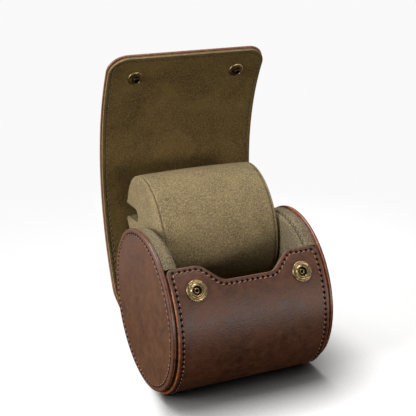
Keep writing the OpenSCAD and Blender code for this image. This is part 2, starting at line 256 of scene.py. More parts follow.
def write_mesh(name, points, quads, index=0, materials=(), closed=True):
    """A mesh from points in millimetres and quads, welded where points meet.

    Points closer than a ten-thousandth of a millimetre become one, a quad that
    loses a corner becomes a triangle, and the faces are turned outwards.
    """
    index = np.broadcast_to(index, len(quads))
    _, first, where = np.unique(np.round(points, 4), axis=0, return_index=True, return_inverse=True)
    quads = where.reshape(-1)[quads]
    same = np.stack([quads[:, i] == quads[:, (i + 1) % 4] for i in range(4)])
    lost = same.sum(0)
    faces, kept = quads[lost == 0].tolist(), [index[lost == 0]]
    for i in range(4):
        pick = (lost == 1) & same[i]
        faces += np.delete(quads[pick], i, axis=1).tolist()
        kept.append(index[pick])
    mesh = bpy.data.meshes.new(name)
    mesh.from_pydata((points[first] * MM).tolist(), [], faces)
    mesh.polygons.foreach_set("material_index", np.concatenate(kept).astype(np.int32))
    mesh.polygons.foreach_set("use_smooth", np.ones(len(mesh.polygons), bool))
    if closed:
        work = bmesh.new()
        work.from_mesh(mesh)
        bmesh.ops.recalc_face_normals(work, faces=work.faces)
        work.to_mesh(mesh)
        work.free()
        mesh.set_sharp_from_angle(angle=np.radians(55))
    for m in materials:
        mesh.materials.append(m)
    mesh.update()
    piece = bpy.data.objects.new(name, mesh)
    bpy.context.scene.collection.objects.link(piece)
    return piece


def oval_shell(name, side, stations, materials, steps, index=0, rise=0.0):
    """A disc-like form of oval rings, from the middle of one face to the middle of the other.

    stations are rows of (x, scale towards the axis, inset); the scale shrinks
    the ring to a point at the middle of a face. A raised shell is a whole oval,
    any other is cut flat at the base.
    """
    x, scale, inset = np.array(stations, float).T[:, :, None]
    y, z, _, _ = oval(np.linspace(0, 360, steps + 1)[:-1], -inset, flat=rise == 0)
    points = np.stack([side * x + 0 * y, y * scale, (z - AXIS_Z) * scale + AXIS_Z + rise], -1)
    quads = grid_quads(len(stations), steps, close_columns=True)
    index = np.repeat(np.broadcast_to(index, len(stations) - 1), steps)
    return write_mesh(name, points.reshape(-1, 3), quads, index, materials)


def revolve(name, profile, frames, materials, index=0, steps=96):
    """A profile of (radius, height) turned round each frame's axis, for two like pieces."""
    r, h = np.array(profile, float).T[:, :, None]
    a = around(steps)
    shape = np.stack([r * np.cos(a), r * np.sin(a), h + 0 * a], -1).reshape(-1, 3)
    quads = grid_quads(len(profile), steps, close_columns=True)
    index = np.repeat(np.broadcast_to(index, len(profile) - 1), steps)
    points, quads, index = join_grids([(origin + shape @ axes, quads, index) for origin, axes in frames])
    return write_mesh(name, points, quads, index, materials)


def rounded(profile):
    """A profile with its corners cut, twice by quarters."""
    p = np.array(profile, float)
    for _ in range(2):
        cut = np.stack([0.75 * p[:-1] + 0.25 * p[1:], 0.25 * p[:-1] + 0.75 * p[1:]], 1)
        p = np.concatenate([p[:1], cut.reshape(-1, 2), p[-1:]])
    return p


def dress(piece, slot, *replaced, body=None, soft=None):
    """Attaches a piece to the body that carries it, if one is given, and hides the parts that it replaces."""
    if body:
        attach(piece, body)
    if replaced:
        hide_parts(*replaced)
    return piece


# ---- the strip's own line -----------------------------------------------

def open_lean(s):
    """Lean in radians of the open lid at length s from its first fold."""
    return np.radians(OPEN_LEAN + CURL_1 * s + CURL_2 * s ** 2)


class StripLine:
    """The outer face of the leather strip, from the front edge over the base to the lid's tip.

    It is the oval down to the base, a flat run, the heel's arc, a short run up
    to the first fold, and then the open lid, whose lean grows as open_lean says.
    """

    def __init__(self):
        y, z, ny, nz = oval(np.linspace(FRONT_EDGE_AT - 8, 270, 900))
        flat = z < 1e-6
        ny, nz = np.where(flat, 0, ny), np.where(flat, -1, nz)
        out, along = beside(HEEL_SLOPE), ahead(HEEL_SLOPE)
        end = FOLD_1 + SHEET_T * out
        run = (end[1] - HEEL_R * (1 - along[0])) / along[1]
        heel_y = end[0] - HEEL_R * along[1] - run * along[0]
        base_y = np.linspace(y[-1], heel_y, 40)[1:]
        level = 0 * base_y
        a = np.linspace(0, HEEL_SLOPE, 60)[1:]
        arc = np.stack([heel_y + HEEL_R * np.sin(a), HEEL_R * (1 - np.cos(a))], 1)
        # lid: the folds of the solid's straight lengths, joined by one smooth line
        lean = open_lean((np.arange(LID_PARTS) + 0.5) * CHORD)
        self.lean_last = lean[-1]
        self.folds = FOLD_1 + np.concatenate([[[0, 0]], np.cumsum(CHORD * ahead(lean), 0)])
        leans = np.concatenate([[HEEL_SLOPE, ROOT_LEAN], open_lean(np.arange(1, LID_PARTS + 1) * CHORD)])
        knots = np.concatenate([[arc[-1] - SHEET_T * out], self.folds])
        inner, leans = smooth_line(knots, leans, SPAN_POINTS)
        normal = beside(leans)
        points = np.concatenate([
            np.stack([y, z], 1), np.stack([base_y, level], 1), arc, inner + SHEET_T * normal])
        normals = np.concatenate([np.stack([ny, nz], 1), np.stack([level, level - 1], 1), beside(a), normal])
        for _ in range(12):
            normals[1:-1] = (normals[:-2] + 2 * normals[1:-1] + normals[2:]) / 4
        length = lengths(points)
        keep = np.diff(length, prepend=-1) > 1e-9
        self.s, self.p, self.n = length[keep], points[keep], normals[keep]
        self.tip_s = length[-1]
        at_fold = len(points) - len(inner) + SPAN_POINTS * np.arange(1, LID_PARTS + 1)
        self.fold_s = length[at_fold]
        self.middle_s = length[at_fold + SPAN_POINTS // 2]
        # height above the middle of the front edge, for the scoop
        oy, oz, my, mz = oval(EDGE_MID_AT)
        up = np.array([mz, -my])
        self.rise = ((points[:EDGE_POINTS] - [oy, oz]) @ up)[::-1]
        self.rise_s = length[:EDGE_POINTS][::-1]
        self.edge_top = (np.array(oval(FRONT_EDGE_AT)[:2]) - [oy, oz]) @ up

    def normal(self, s):
        """Unit normals of the outer face at length s."""
        n = along_path(s, self.s, self.n)
        n /= np.linalg.norm(n, axis=-1)[..., None]
        return np.concatenate([0 * n[..., :1], n], -1)

    def at(self, x, s, depth):
        """Points at x across and s along, depth below the outer face."""
        x, s, depth = np.broadcast_arrays(x, s, depth)
        point = np.concatenate([x[..., None], along_path(s, self.s, self.p)], -1)
        return point - depth[..., None] * self.normal(s)

    def front_edge(self, x):
        """Length s of the front edge at x: a flat scoop with cosine sides and rounded corners."""
        x = np.abs(x)
        k = np.clip((x - SCOOP_FLAT) / (SCOOP_TOP - SCOOP_FLAT), 0, 1)
        rise = self.edge_top - SCOOP_DEPTH * (1 + np.cos(np.pi * k)) / 2
        beyond = np.clip(x - (WRAP_HALF - EDGE_CORNER_R), 0, EDGE_CORNER_R)
        rise = rise - EDGE_CORNER_R + np.sqrt(np.maximum(EDGE_CORNER_R ** 2 - beyond ** 2, 0))
        return np.interp(rise, self.rise, self.rise_s)

    def tip_edge(self, x):
        """Length s of the lid's free edge at x, with its rounded corners."""
        beyond = np.clip(np.abs(x) - (LID_HALF - LID_CORNER_R), 0, LID_CORNER_R)
        return self.tip_s - LID_CORNER_R + np.sqrt(np.maximum(LID_CORNER_R ** 2 - beyond ** 2, 0))

    def half_width(self, s):
        """Half the strip's width: narrow round the drum, wider from the lid's root on."""
        k = np.clip((s - self.fold_s[0] - FLARE_START) / FLARE_LENGTH, 0, 1)
        return WRAP_HALF + (LID_HALF - WRAP_HALF) * (1 - np.cos(np.pi * k)) / 2


STRIP = StripLine()


def strip_shell(name, s_from, s_to, depths, inset, groove, materials, step, end=None, rim=None):
    """One layer of the strip between two lengths, as a closed shell.

    Across, the columns crowd towards both sides; along, they crowd towards a
    shaped end, which is "front", "tip" or none. At each free side the outer and
    inner faces close in a half round, by insets rim (1 - cos a) and fullness
    sin a. A groove of that depth runs where the stitches pull the sheet in, in
    the outer face, or in the inner one where it is below zero.
    """
    top, bottom = depths
    mid, thick = (top + bottom) / 2, (bottom - top) / 2
    rim = thick if rim is None else rim
    edge, full = rim * (1 - np.cos(quarter(RIM_STEPS))), np.sin(quarter(RIM_STEPS))
    half = WRAP_HALF if s_to < STRIP.fold_s[0] else LID_HALF
    body = half - inset - rim
    inner = np.linspace(-1, 1, max(3, int(2 * half / step)))[1:-1] * (body - EDGE_LOOPS[-1])
    across = np.concatenate([EDGE_LOOPS - body, inner, (body - EDGE_LOOPS)[::-1]]) / body
    whole = np.ones(len(across))
    frac = np.concatenate([0 * edge - 1, across, 0 * edge + 1])
    into = np.concatenate([edge, rim * whole, edge[::-1]])
    full_x = np.concatenate([full, whole, full[::-1]])
    straight = np.linspace(0, 1, max(3, int(abs(s_to - s_from) / step)))
    if end is None:
        # both ends are cut square, inside the sheet
        share = np.concatenate([[0.0], straight, [1.0]])[:, None]
        full_s = np.concatenate([[0.0], straight * 0 + 1, [0.0]])[:, None]
        s = s_from + (s_to - s_from) * share + 0 * frac
        to_end = FAR
    else:
        shape, sign, other = (STRIP.front_edge, 1, s_to) if end == "front" else (STRIP.tip_edge, -1, s_from)
        share = np.concatenate([0 * edge, 0 * EDGE_LOOPS, straight[1:], [1.0]])[:, None]
        near = np.concatenate([edge, rim + EDGE_LOOPS, straight * 0 + rim + EDGE_LOOPS[-1]])[:, None]
        full_s = np.concatenate([full, EDGE_LOOPS * 0 + 1, straight[1:] * 0 + 1, [0.0]])[:, None]
        x = np.abs(frac * (half - inset - into))
        stretch = np.sqrt(1 + np.clip(np.abs(slope_of(shape, x)), 0, 2.2) ** 2)
        begin = shape(np.clip(x + inset, 0, half)) + sign * inset
        s = begin + sign * near * np.where(share > 0, 1, stretch)
        s_near = begin + sign * near.max() * stretch
        s = np.where(share > 0, s_near + (other - s_near) * share, s)
        to_end = near + FAR * (share > 0) + inset
    x = frac * (STRIP.half_width(s) - inset - into)
    ridge = bump_at(np.minimum(STRIP.half_width(s) - np.abs(x), to_end), STITCH_INSET, 0.55)
    fill = full_x * full_s
    outer = STRIP.at(x, s, mid + (max(groove, 0) * ridge - thick) * fill)
    inside = STRIP.at(x, s, mid + (min(groove, 0) * ridge + thick) * fill)
    quads = grid_quads(*s.shape)
    rows, cols = np.indices((s.shape[0] - 1, s.shape[1] - 1)).reshape(2, -1)
    on_rim = np.minimum(cols, s.shape[1] - 2 - cols) < RIM_STEPS
    if end == "tip":
        on_rim |= rows < RIM_STEPS
    elif end == "front":
        on_rim &= rows >= 3 * RIM_STEPS
    index = np.where(on_rim, min(1, len(materials) - 1), 0)
    points, quads, index = join_grids([(outer, quads, index), (inside, quads, index)])
    return write_mesh(name, points, quads, index, materials)


def slope_of(curve, x, delta=0.05):
    """Slope of a curve that is the same on both sides of x = 0."""
    return (curve(np.abs(x) + delta) - curve(np.maximum(np.abs(x) - delta, 0))) / (2 * delta)


def resample(path, pitch=STITCH_PITCH):
    """Points, directions and lengths at equal steps along a path of 3-D points."""
    length = lengths(path)
    count = max(1, int(round(length[-1] / pitch)))
    at = (np.arange(count) + 0.5) * length[-1] / count
    along = along_path(at + 0.3, length, path) - along_path(at - 0.3, length, path)
    along /= np.linalg.norm(along, axis=1)[:, None]
    return along_path(at, length, path), along, at, length[-1] / count


def stitches(name, point, along, up, pitch, outward=1.0, fine=None):
    """Saddle stitches: short threads bowed out of the leather, each slanting from one hole to the next.

    A thread is an eight-sided tube whose middle stands proud by a cosine bow and
    which leans inwards across the row; a hole is a shallow cup with a low rim, on
    the row's outer side, coloured near-black as painted shade for the depth of a
    punched hole. Outward is +1 where side (up x along) points to the sheet's edge.
    Fine stitches are dark, with small holes that stand that far proud.
    """
    materials = [MATERIAL["thread"], MATERIAL["hole"]] if fine is None else [MATERIAL["lid_thread"]] * 2
    hole_r, proud = (1.0, THREAD_SUNK) if fine is None else (0.6, fine)
    side = np.cross(up, along)
    side *= outward / np.linalg.norm(side, axis=1)[:, None]
    axes = np.stack([along, side, outward * np.cross(along, side)], 1)
    t = np.linspace(-1, 1, 9)[:, None]
    thin = THREAD_R * np.sqrt(np.clip(1 - t ** 6, 0.02, 1))
    a, half = around(8), pitch * 0.36
    tube = np.stack([
        t * half + 0 * a, -0.35 + 0.30 * t + thin * np.cos(a),
        0.36 * np.cos(t * np.pi / 2) - 0.14 + thin * np.sin(a)], -1)
    tube = capped(tube)
    r = np.array([[0.0], [0.55], [0.9], [1.0], [0.9], [0.0]]) * hole_r
    h = np.array([[0.03], [0.03], [0.05], [-0.03], [-0.29], [-0.31]]) + proud
    a = around(12)
    cup = np.stack([half * 1.38 + 0.85 * r * np.cos(a), 0.35 + 0.75 * r * np.sin(a), h + 0 * a], -1)
    parts = []
    for number, form in enumerate((tube, cup)):
        local = form.reshape(-1, 3)
        quads = grid_quads(*form.shape[:2], close_columns=True)
        quads = quads + np.arange(len(point))[:, None, None] * len(local)
        parts.append((point[:, None] + local @ axes, quads.reshape(-1, 4), number))
    return write_mesh(name, *join_grids(parts), materials)


# ---- materials ----------------------------------------------------------

def add_node(tree, kind, settings=None, links=None):
    """Adds one node, sets its settings and sockets, and links outputs into its sockets.

    A node given in links stands for its first output. Stops are the positions
    and colours of a ramp.
    """
    node = tree.nodes.new(kind)
    for key, value in (settings or {}).items():
        if key == "stops":
            for stop, (position, colour) in zip(node.color_ramp.elements, value):
                stop.position, stop.color = position, (*colour, 1)
        elif isinstance(key, str) and hasattr(node, key):
            setattr(node, key, value)
        else:
            node.inputs[key].default_value = value
    for socket, source in (links or {}).items():
        tree.links.new(source.outputs[0] if hasattr(source, "outputs") else source, node.inputs[socket])
    return node


def waxed_leather(tree, dark, mid, pale, rough=0.5, brushed=(1.0, 1.0, 1.0)):
    """Waxed pull-up cowhide: a smooth, greasy hide that pales where it is stretched.

    Broad clouds from dark to mid, small pale scuffs, thin streaks where the wax
    was brushed in (long in the directions where brushed is small), a fine
    pebble grain of about 0.7 mm and a half-matt shine that breaks up with the
    scuffs.
    """
    place = add_node(tree, "ShaderNodeTexCoord").outputs["Object"]
    drawn = add_node(tree, "ShaderNodeMapping", {"Scale": brushed}, {"Vector": place})
    cloud = add_node(tree, "ShaderNodeTexNoise", {"Scale": 46.0, "Detail": 6.0, "Roughness": 0.62}, {"Vector": place})
    body = add_node(tree, "ShaderNodeValToRGB", {"stops": ((0.36, dark), (0.62, mid))}, {"Fac": cloud})
    scuff = add_node(tree, "ShaderNodeTexNoise", {
        "Scale": 190.0, "Detail": 7.0, "Roughness": 0.75, "Distortion": 0.4}, {"Vector": place})
    streak = add_node(tree, "ShaderNodeTexNoise", {
        "Scale": 1100.0, "Detail": 4.0, "Roughness": 0.7}, {"Vector": drawn})
    worn = add_node(tree, "ShaderNodeMath", {"operation": "MULTIPLY_ADD", 1: 0.45}, {0: streak, 2: scuff})
    mask = add_node(tree, "ShaderNodeMapRange", {"From Min": 0.62, "From Max": 1.0, "To Max": 0.65}, {"Value": worn})
    tone = add_node(tree, "ShaderNodeMix", {"data_type": "RGBA", 7: (*pale, 1)}, {0: mask, 6: body})
    pebble = add_node(tree, "ShaderNodeTexVoronoi", {"Scale": 1500.0, "feature": "SMOOTH_F1"}, {"Vector": place})
    relief = add_node(tree, "ShaderNodeMath", {"operation": "ADD"}, {0: pebble, 1: streak})
    bump = add_node(tree, "ShaderNodeBump", {"Strength": 0.25, "Distance": 0.0003}, {"Height": relief})
    gloss = add_node(tree, "ShaderNodeMapRange", {
        "From Min": 0.35, "From Max": 0.65, "To Min": rough - 0.06, "To Max": rough + 0.08}, {"Value": scuff})
    return add_node(tree, "ShaderNodeBsdfPrincipled", {"IOR": 1.45, "Specular IOR Level": 0.5}, {
        "Base Color": tone.outputs[2], "Roughness": gloss, "Normal": bump})


def burnished_edge(tree, dark, pale):
    """Cut edge of vegetable-tanned hide, dyed and rubbed to a shine: fibres lie along it and it catches light."""
    place = add_node(tree, "ShaderNodeTexCoord").outputs["Object"]
    grain = add_node(tree, "ShaderNodeTexNoise", {"Scale": 320.0, "Detail": 5.0, "Roughness": 0.65}, {"Vector": place})
    tone = add_node(tree, "ShaderNodeValToRGB", {"stops": ((0.32, dark), (0.68, pale))}, {"Fac": grain})
    bump = add_node(tree, "ShaderNodeBump", {"Strength": 0.2, "Distance": 0.0002}, {"Height": grain})
    return add_node(tree, "ShaderNodeBsdfPrincipled", {
        "Roughness": 0.38, "IOR": 1.47, "Coat Weight": 0.12, "Coat Roughness": 0.25},
        {"Base Color": tone, "Normal": bump})


def suede(tree, dark, mid, pale, nap=0.5, patch=1.0, tufts=1000.0):
    """Split-hide suede: short brushed fibres with no shine, mottled where the nap lies both ways.

    Patches of 10 to 20 mm where the nap has been stroked, speckle of 0.8 to
    1 mm for the fibre tufts, which is coarser than the real nap so that it
    shows, and a soft sheen at grazing light.
    """
    place = add_node(tree, "ShaderNodeTexCoord").outputs["Object"]
    cloud = add_node(tree, "ShaderNodeTexNoise", {
        "Scale": 100.0 * patch, "Detail": 4.0, "Roughness": 0.6, "Distortion": 0.8}, {"Vector": place})
    body = add_node(tree, "ShaderNodeValToRGB", {"stops": ((0.32, dark), (0.66, mid))}, {"Fac": cloud})
    tuft = add_node(tree, "ShaderNodeTexNoise", {"Scale": tufts, "Detail": 7.0, "Roughness": 0.88}, {"Vector": place})
    mask = add_node(tree, "ShaderNodeMapRange", {"From Min": 0.44, "From Max": 0.67, "To Max": 0.9}, {"Value": tuft})
    tone = add_node(tree, "ShaderNodeMix", {"data_type": "RGBA", 7: (*pale, 1)}, {0: mask, 6: body})
    relief = add_node(tree, "ShaderNodeMath", {"operation": "ADD"}, {0: tuft, 1: cloud})
    bump = add_node(tree, "ShaderNodeBump", {"Strength": nap, "Distance": 0.0009}, {"Height": relief})
    return add_node(tree, "ShaderNodeBsdfPrincipled", {
        "Roughness": 0.95, "IOR": 1.4, "Specular IOR Level": 0.2, "Sheen Weight": 0.25, "Sheen Roughness": 0.5,
        "Sheen Tint": (*pale, 1)}, {"Base Color": tone.outputs[2], "Normal": bump})


def aged_brass(tree, dark, bright, rough=0.27):
    """Pressed brass with an antique finish: yellow metal stained brown, and rubbed brighter where it is handled."""
    place = add_node(tree, "ShaderNodeTexCoord").outputs["Object"]
    stain = add_node(tree, "ShaderNodeTexNoise", {"Scale": 1000.0, "Detail": 5.0, "Roughness": 0.7}, {"Vector": place})
    tone = add_node(tree, "ShaderNodeValToRGB", {"stops": ((0.38, dark), (0.60, bright))}, {"Fac": stain})
    dull = add_node(tree, "ShaderNodeMapRange", {"To Min": rough + 0.12, "To Max": rough - 0.08}, {"Value": stain})
    bump = add_node(tree, "ShaderNodeBump", {"Strength": 0.2, "Distance": 0.0002}, {"Height": stain})
    return add_node(tree, "ShaderNodeBsdfPrincipled", {"Metallic": 1.0}, {
        "Base Color": tone, "Roughness": dull, "Normal": bump})


def waxed_thread(tree, dark, pale):
    """Waxed polyester thread: two twisted plies with a dull shine, drawn at 0.6 mm so that they show."""
    place = add_node(tree, "ShaderNodeTexCoord").outputs["Object"]
    ply = add_node(tree, "ShaderNodeTexNoise", {"Scale": 1600.0, "Detail": 2.0}, {"Vector": place})
    tone = add_node(tree, "ShaderNodeValToRGB", {"stops": ((0.35, dark), (0.7, pale))}, {"Fac": ply})
    bump = add_node(tree, "ShaderNodeBump", {"Strength": 0.5, "Distance": 0.0002}, {"Height": ply})
    return add_node(tree, "ShaderNodeBsdfPrincipled", {"Roughness": 0.55}, {"Base Color": tone, "Normal": bump})


def painted_hole_shade(tree, colour):
    """Painted shade: a near-black matt colour for the insides of punched holes and of the snaps' hollow middles,
    standing in for the shadow that fills them.
    """
    return add_node(tree, "ShaderNodeBsdfPrincipled", {
        "Base Color": (*colour, 1), "Roughness": 0.9, "Specular IOR Level": 0.1})


def pressed_board(tree, dark, pale):
    """Grey bookbinder's board and wool felt: a dull fibre mat, seen only on its edge."""
    place = add_node(tree, "ShaderNodeTexCoord").outputs["Object"]
    fibre = add_node(tree, "ShaderNodeTexNoise", {"Scale": 1400.0, "Detail": 4.0}, {"Vector": place})
    tone = add_node(tree, "ShaderNodeValToRGB", {"stops": ((0.3, dark), (0.7, pale))}, {"Fac": fibre})
    return add_node(tree, "ShaderNodeBsdfPrincipled", {"Roughness": 0.95, "Specular IOR Level": 0.2},
                    {"Base Color": tone})


def new_material(name, recipe, colours=(), look=None):
    """A material whose empty tree gets the recipe's shader and the output that it goes to."""
    m = bpy.data.materials.new(name)
    m.use_nodes = True
    m.node_tree.nodes.clear()
    shader = recipe(m.node_tree, *colours, **(look or {}))
    add_node(m.node_tree, "ShaderNodeOutputMaterial", links={"Surface": shader})
    return m


MATERIAL = {}
BRUSHED_ROUND = {"rough": 0.46, "brushed": (0.3, 1.0, 1.0)}
BRUSHED_UP = {"rough": 0.56, "brushed": (1.0, 1.0, 0.3)}
LONG_NAP = {"nap": 0.7, "patch": 0.8, "tufts": 1250.0}
# key, name, recipe, colours and look of every finish but the strip's hide
FINISHES = (
    # the disc's hide is the strip's leather, coloured lighter: the extra lightness is painted light for the strong side
    # light on the ends
    ("disc", "waxed_leather_disc", waxed_leather, "#4a2e1d #593823 #704b33", BRUSHED_UP),
    ("edge", "burnished_hide_edge", burnished_edge, "#60301a #a05e3a", {}),
    ("lid_edge", "worn_hide_edge", burnished_edge, "#5e341e #8c5434", {}),
    ("rim", "polished_dark_edge", burnished_edge, "#2e1b13 #5a3829", {}),
    ("lining", "olive_suede", suede, "#42341b #66532e #907a4e", {"patch": 0.5, "tufts": 1250.0}),
    ("pale", "pale_olive_suede", suede, "#5e5035 #7d6c49 #c2b08b", LONG_NAP),
    ("band", "band_suede", suede, "#443926 #63563e #ada086", LONG_NAP),
    ("hem", "brushed_suede_hem", suede, "#6a5a38 #87764e #a5946a", {}),
    ("brass", "aged_brass", aged_brass, "#524229 #a48e68", {}),
    # dark brown for the snaps' bores, wires and stud posts: partly patina, partly painted shade
    ("patina_and_shade", "brown_patina_and_shade", aged_brass, "#17110a #3c2f1b", {"rough": 0.5}),
    ("thread", "brown_waxed_thread", waxed_thread, "#523226 #9f7057", {}),
    ("lid_thread", "dark_olive_thread", waxed_thread, "#2c2312 #4a3d22", {}),
    # painted shade: near-black for the insides of holes and hollows
    ("hole", "painted_hole_shade", painted_hole_shade, "#0e0705", {}),
    ("board", "pressed_board", pressed_board, "#5a4a36 #80694c", {}),
)


def make_materials(colours):
    """Fills MATERIAL; the strip's hide takes its three colours from the properties."""
    hide = (colours.leather_dark, colours.leather_mid, colours.leather_pale)
    MATERIAL["strip"] = new_material("waxed_leather_strip", waxed_leather, hide, BRUSHED_ROUND)
    for key, name, recipe, codes, look in FINISHES:
        MATERIAL[key] = new_material(name, recipe, map(linear, codes.split()), look)


# ---- properties ---------------------------------------------------------

class CaseSizes(bpy.types.PropertyGroup):
    disc_crown: FloatProperty(
        name="Disc crown", description="How far the end disc's face swells", default=0.5 * MM, unit="LENGTH")
    pillow_swell: FloatProperty(
        name="Pillow swell", description="How far the pillow's middle stands out", default=0.6 * MM, unit="LENGTH")
    sample_step: FloatProperty(
        name="Grid step", description="Distance between grid lines on the leather", default=1.6 * MM, unit="LENGTH")
    around: IntProperty(name="Steps around", description="Grid lines round an end disc", default=360)


class CaseColours(bpy.types.PropertyGroup):
    leather_dark: FloatVectorProperty(
        name="Leather, dark", description="Hide in its dark clouds", subtype="COLOR", default=linear("#371d10"))
    leather_mid: FloatVectorProperty(
        name="Leather, middle", description="Hide over most of its face", subtype="COLOR", default=linear("#4e2b19"))
    leather_pale: FloatVectorProperty(
        name="Leather, pale", description="Hide where it is scuffed", subtype="COLOR", default=linear("#68422b"))


# ---- pieces -------------------------------------------------------------

SIDES = ((-1, "left"), (1, "right"))


class CASE_OT_end_discs(bpy.types.Operator):
    """Makes the two leather end discs, their second layer and their stitches"""
    bl_idname = "watch_case.end_discs"
    bl_label = "End discs"

    def execute(self, context):
        sizes = context.scene.watch_case_sizes
        crown, flat_to, edge_r = sizes.disc_crown / MM, 4.9, 0.9
        face = [(DISC_OUT + crown * (1 - k ** 2), k, flat_to) for k in np.linspace(0, 1, 24)[:-1]]
        face += [(DISC_OUT - 0.32 * bump_at(d, DISC_STITCH_IN, 0.6), 1.0, d) for d in np.arange(flat_to, 0.85, -0.25)]
        face += [(DISC_OUT - edge_r * (1 - np.cos(a)), 1.0, edge_r - edge_r * np.sin(a)) for a in quarter(6)[1:]]
        back = [(DISC_OUT - 1.15, 1.0, 0.02), (DISC_IN + 0.25, 1.0, 0.06), (DISC_IN + 0.06, 1.0, 0.14),
                (DISC_IN, 1.0, 0.35), (DISC_IN, 0.0, 0.35)]
        # hide on the face, three polished rings round its corner, and the burnished edge
        hide = (MATERIAL["disc"], MATERIAL["rim"], MATERIAL["edge"])
        index = np.repeat([0, 1, 2], [len(face) - 3, 3, len(back) - 1])
        leather = np.array(face + back) - [0, 0, DISC_OFF]
        rounding = np.array([(0.02, 0.0, 0.3), (0.02, 1.0, 0.3), (0.06, 1.0, 0.12), (0.3, 1.0, 0.0)])
        welt = np.concatenate([
            rounding * [-1, 1, 1] + [DISC_IN, 0, 0], (rounding + [WELT_IN, 0, 0])[::-1]]) - [0, 0, WELT_OFF]
        y, z, _, _ = oval(np.linspace(0, 360, 2001), DISC_OFF - DISC_STITCH_IN, flat=False)
        for side, word in SIDES:
            disc = oval_shell(f"{word}_disc_leather", side, leather, hide, sizes.around, index, DISC_RISE)
            dress(disc, "brown_leather", f"{word}_disc", body="drum")
            # the second layer takes the dark polished-edge colour instead of its burnished one, as painted shade for
            # the narrow gap it sits in
            layer = oval_shell(f"{word}_disc_second_layer", side, welt, hide[1:2], sizes.around, rise=DISC_RISE)
            dress(layer, "burnished_edge", f"{word}_welt", body="drum")
            path = np.stack([0 * y + side * (DISC_OUT - 0.27), y, z + DISC_RISE], 1)
            point, along, _, pitch = resample(path)
            up = np.tile([side, 0.0, 0.0], (len(point), 1))
            dress(stitches(f"{word}_disc_stitches", point, along, up, pitch, -side), "brown_leather", body="drum")
        return {"FINISHED"}


class CASE_OT_strip(bpy.types.Operator):
    """Makes the leather strip round the front and base, its board, lining and stitches"""
    bl_idname = "watch_case.strip"
    bl_label = "Strip"

    def execute(self, context):
        end = STRIP.fold_s[0] - LID_CUT
        step = context.scene.watch_case_sizes.sample_step / MM
        hide, lining = (MATERIAL["strip"], MATERIAL["edge"]), (MATERIAL["lining"], MATERIAL["hem"])
        for word, depths, inset, groove, materials, slot, rim in (
                ("leather", LEATHER, 0.0, 0.22, hide, "brown_leather", None),
                ("board", BOARD, 0.6, 0.0, (MATERIAL["board"],), "greyboard", 0.3),
                ("lining", LINING, 0.15, -0.15, lining, "olive_suede", None)):
            piece = strip_shell(f"strip_{word}", 0.0, end, depths, inset, groove, materials, step, "front", rim)
            dress(piece, slot, f"wrap_{word}", body="drum")
        # stitches: down both sides and along the front edge
        x = WRAP_HALF - STITCH_INSET
        r = EDGE_CORNER_R - 0.9
        xs = np.linspace(r - x, x - r, 900)
        top = STRIP.front_edge(xs) + STITCH_INSET * np.sqrt(1 + slope_of(STRIP.front_edge, xs) ** 2)
        corner = quarter(29)[1:]
        corner_s = top[-1] + r * (1 - np.cos(corner))
        down = np.arange(corner_s[-1], end, 0.5)[1:]
        right_x = np.concatenate([x - r + r * np.sin(corner), 0 * down + x])
        right_s = np.concatenate([corner_s, down])
        path_s = np.concatenate([right_s[::-1], top, right_s])
        path = STRIP.at(np.concatenate([-right_x[::-1], xs, right_x]), path_s, THREAD_SUNK)
        point, along, at, pitch = resample(path)
        up = STRIP.normal(np.interp(at, lengths(path), path_s))
        dress(stitches("strip_stitches", point, along, up, pitch), "brown_leather", body="drum")
        return {"FINISHED"}


class CASE_OT_lid(bpy.types.Operator):
    """Makes the open, curled lid in spans that each reach across one fold"""
    bl_idname = "watch_case.lid"
    bl_label = "Lid"

    def execute(self, context):
        step = context.scene.watch_case_sizes.sample_step / MM
        cuts = [STRIP.fold_s[0] - LID_CUT, *STRIP.middle_s, STRIP.tip_s]
        # stitches: up one side, round the corner to the middle, and the same on the other side
        straight_x, straight_s = LID_HALF - LID_CORNER_R, STRIP.tip_s - LID_CORNER_R
        side_s = np.arange(cuts[0], straight_s, 0.4)
        r = LID_CORNER_R - STITCH_INSET
        a = quarter(59)[1:]
        top_x = np.append(np.arange(straight_x, 0, -0.4)[1:], 0.0)
        half_x = np.concatenate([STRIP.half_width(side_s) - STITCH_INSET, straight_x + r * np.cos(a), top_x])
        half_s = np.concatenate([side_s, straight_s + r * np.sin(a), 0 * top_x + STRIP.tip_s - STITCH_INSET])
        path_x = np.concatenate([half_x, -half_x[::-1][1:]])
        path_s = np.concatenate([half_s, half_s[::-1][1:]])
        path = STRIP.at(path_x, path_s, THREAD_SUNK)
        point, along, at, pitch = resample(path)
        stitch_x, stitch_s = along_path(at, lengths(path), np.stack([path_x, path_s], 1)).T
        up = STRIP.normal(stitch_s)
        inner_point = STRIP.at(stitch_x, stitch_s, SHEET_T - 0.30)
        layers = (
            ("leather", LEATHER, 0.0, 0.22, (MATERIAL["strip"], MATERIAL["lid_edge"]), "brown_leather"),
            ("padding", BOARD, 0.6, 0.0, (MATERIAL["board"],), "felt_padding"),
            ("lining", LINING, 0.35, -0.36, (MATERIAL["lining"], MATERIAL["hem"]), "olive_suede"))
        for k, (s0, s1) in enumerate(zip(cuts[:-1], cuts[1:])):
            last = k == LID_PARTS
            number = k + 1
            made = []
            for word, depths, inset, groove, materials, slot in layers:
                piece = strip_shell(f"lid_{word}_span_{number}", s0, s1, depths, inset, groove, materials, step,
                                    "tip" if last else None)
                made.append(dress(piece, slot, f"lid_{word}_{min(number, LID_PARTS)}"))
            mine = (stitch_s >= s0) & (stitch_s < s1)
            made.append(dress(stitches(
                f"lid_stitches_span_{number}", point[mine], along[mine], up[mine], pitch), "brown_leather"))
            made.append(dress(stitches(
                f"lid_lining_stitches_span_{number}", inner_point[mine], along[mine], -up[mine], pitch, -1.0, 0.0),
                "olive_suede"))
            start, finish_at = (tuple(STRIP.at(0.0, s, SHEET_T) * MM) for s in (s0, s1))
            for piece in made:
                if last:
                    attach(piece, f"lid_{LID_PARTS}")
                else:
                    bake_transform(piece)
        return {"FINISHED"}


